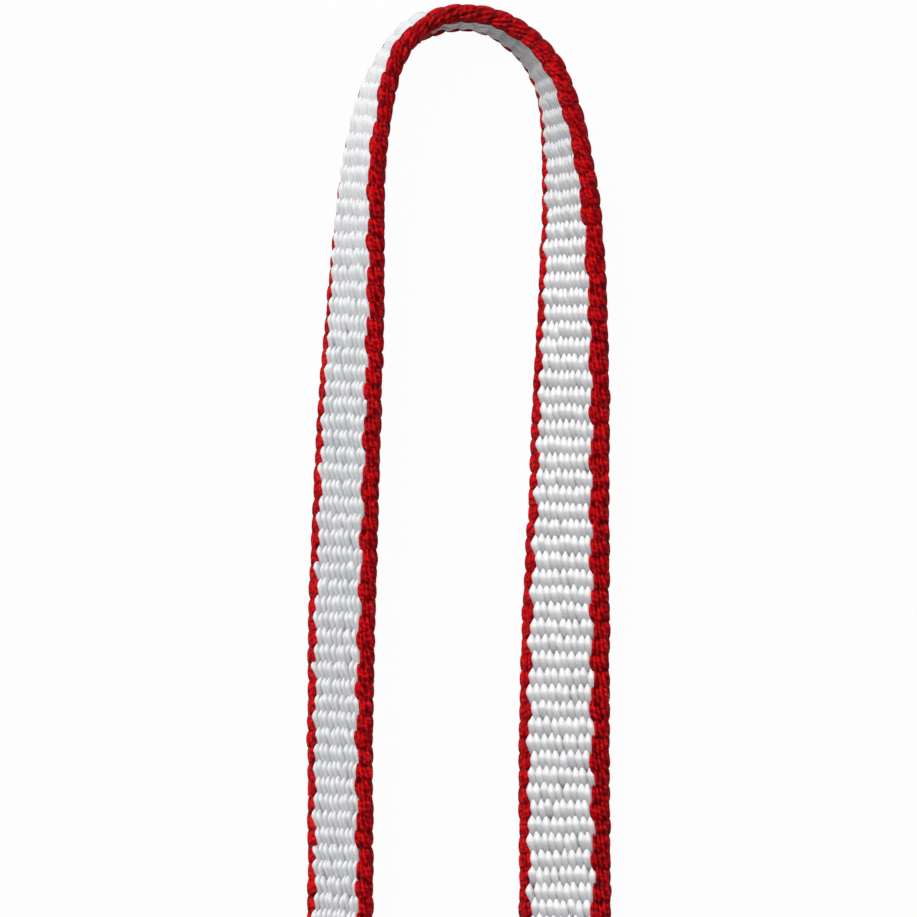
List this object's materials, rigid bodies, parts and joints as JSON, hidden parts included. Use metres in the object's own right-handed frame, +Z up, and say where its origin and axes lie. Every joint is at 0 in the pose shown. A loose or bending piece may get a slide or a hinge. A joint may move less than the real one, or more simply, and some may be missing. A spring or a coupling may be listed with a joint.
{
  "type": "climbing sling",
  "caption": "Narrow sewn climbing sling of white webbing with red edges: an open bight laid out on its edge, a bar-tacked splice, and the spare length rolled up.",
  "frame": {"origin": "middle of the footprint, on the table", "axes": "+Z up, across the strap's width; +Y from the roll towards the open bight, the longest side"},
  "size_m": [0.0658, 0.176, 0.0085],
  "materials": {
    "white_weave": "tight glossy flat weave",
    "red_edge": "round woven edge cord, satin",
    "red_thread": "dense sewing thread, satin"
  },
  "bodies": {
    "root": {"webbing_bight": "white_weave", "webbing_tail": "white_weave", "webbing_roll": "white_weave", "upper_edge_bight": "red_edge", "upper_edge_tail": "red_edge", "upper_edge_roll": "red_edge", "lower_edge_bight": "red_edge", "lower_edge_tail": "red_edge", "lower_edge_roll": "red_edge", "bar_tack_1": "red_thread", "bar_tack_2": "red_thread", "bar_tack_3": "red_thread", "bar_tack_4": "red_thread"}
  },
  "joints": []
}
